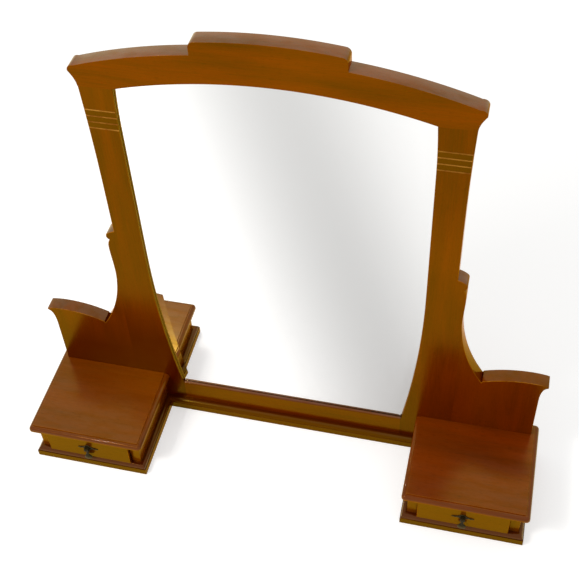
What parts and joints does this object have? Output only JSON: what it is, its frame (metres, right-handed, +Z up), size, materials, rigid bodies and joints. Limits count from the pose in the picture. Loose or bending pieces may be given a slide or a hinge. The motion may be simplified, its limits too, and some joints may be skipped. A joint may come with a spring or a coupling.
{
  "type": "vanity mirror with drawer",
  "caption": "Table-top dressing mirror in an arched wooden frame with shaped wings, a small drawer box with lid moulding at each side and a moulded base.",
  "frame": {"origin": "on the underside of the base, midway between the two drawer boxes, under the front face of the mirror frame", "axes": "+X to the right as seen from the front, +Y to the back, +Z up; the drawers open towards -Y"},
  "size_m": [1, 0.2247, 0.9454],
  "materials": {
    "wood_case": "satin to gloss varnish over reddish-brown wood, worn paler on the edges",
    "wood_drawer": "plain unfinished light wood",
    "wood_backing": "plain, slightly darkened softwood",
    "mirror_glass": "silvered glass with a wide bevel",
    "pull_metal": "dark greenish patina, brighter where handled",
    "screw_steel": "plain"
  },
  "bodies": {
    "case": {"base_right": "wood_case", "base_left": "wood_case", "base_centre": "wood_case", "base_screws": "screw_steel", "top_rail": "wood_case", "bottom_rail": "wood_case", "stile_right": "wood_case", "stile_left": "wood_case", "wing_right": "wood_case", "wing_left": "wood_case", "mirror_glass": "mirror_glass", "glazing_blocks": "wood_drawer", "backing_board": "wood_backing", "backing_screws": "screw_steel", "left_wall_outer": "wood_case", "left_wall_inner": "wood_case", "left_lid": "wood_case", "left_drawer_stops": "wood_drawer", "right_wall_outer": "wood_case", "right_wall_inner": "wood_case", "right_lid": "wood_case", "right_drawer_stops": "wood_drawer"},
    "left_drawer": {"left_drawer_front": "wood_case", "left_drawer_side_inner": "wood_drawer", "left_drawer_side_outer": "wood_drawer", "left_drawer_back": "wood_drawer", "left_drawer_bottom": "wood_drawer", "left_pull_plate": "pull_metal", "left_pull_nails": "pull_metal", "left_pull_post": "pull_metal", "left_pull_nut": "pull_metal", "left_pull_pin": "pull_metal"},
    "left_pull": {"left_pull_drop": "pull_metal"},
    "right_drawer": {"right_drawer_front": "wood_case", "right_drawer_side_inner": "wood_drawer", "right_drawer_side_outer": "wood_drawer", "right_drawer_back": "wood_drawer", "right_drawer_bottom": "wood_drawer", "right_pull_plate": "pull_metal", "right_pull_nails": "pull_metal", "right_pull_post": "pull_metal", "right_pull_nut": "pull_metal", "right_pull_pin": "pull_metal"},
    "right_pull": {"right_pull_drop": "pull_metal"}
  },
  "joints": [
    {"name": "left_drawer_slide", "type": "slide", "parent": "case", "child": "left_drawer", "axis": [0, -1, 0], "range_m": [0, 0.15]},
    {"name": "left_pull_swing", "type": "hinge", "parent": "left_drawer", "child": "left_pull", "pos_m": [-0.3785, -0.192, 0.057], "axis": [-1, 0, 0], "range_deg": [-4, 105]},
    {"name": "right_drawer_slide", "type": "slide", "parent": "case", "child": "right_drawer", "axis": [0, -1, 0], "range_m": [0, 0.15]},
    {"name": "right_pull_swing", "type": "hinge", "parent": "right_drawer", "child": "right_pull", "pos_m": [0.3785, -0.192, 0.057], "axis": [-1, 0, 0], "range_deg": [-4, 105]}
  ]
}
